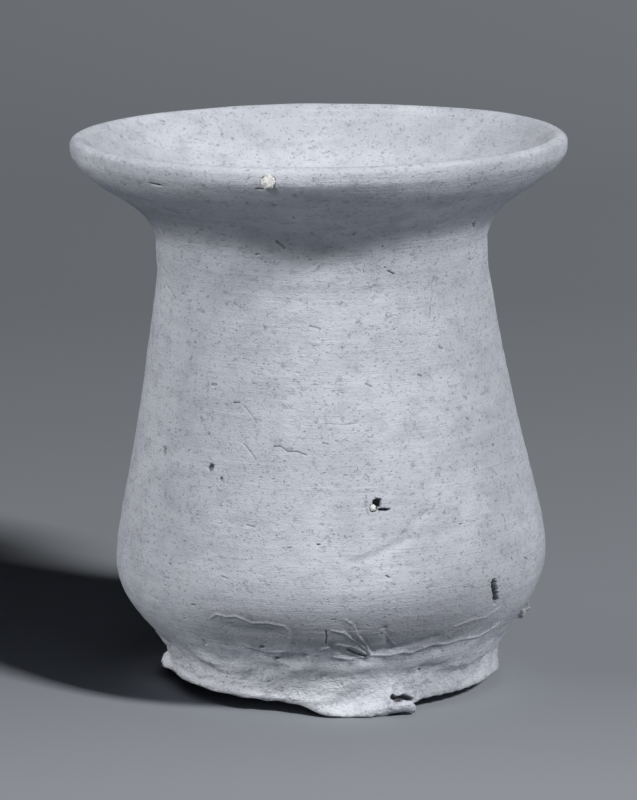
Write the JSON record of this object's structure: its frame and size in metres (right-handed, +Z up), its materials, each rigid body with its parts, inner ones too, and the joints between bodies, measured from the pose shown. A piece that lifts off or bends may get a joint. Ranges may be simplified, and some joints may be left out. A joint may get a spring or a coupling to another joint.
{
  "type": "earthenware jar",
  "caption": "Small thrown earthenware jar with a wide flared mouth, short neck, low wide belly and a rough torn foot. Stands on its base and holds small goods, grain or liquid.",
  "frame": {"origin": "centre of the flat patch under the foot that the jar stands on", "axes": "+Z up through the mouth, -Y towards the side with the spall pit and the squeezed lump under the foot, +X to that side's right"},
  "size_m": [0.0893, 0.0888, 0.0999],
  "materials": {
    "fired_clay": "unglazed, matt, straw-tempered, with fine turning lines",
    "lime": "chalky white burnt limestone",
    "grit": "rough grey mineral grit"
  },
  "bodies": {
    "root": {"pot_body": "fired_clay", "lip_lime_grain": "lime", "spall_lime_grain": "lime", "flank_grit": "grit"}
  },
  "joints": []
}
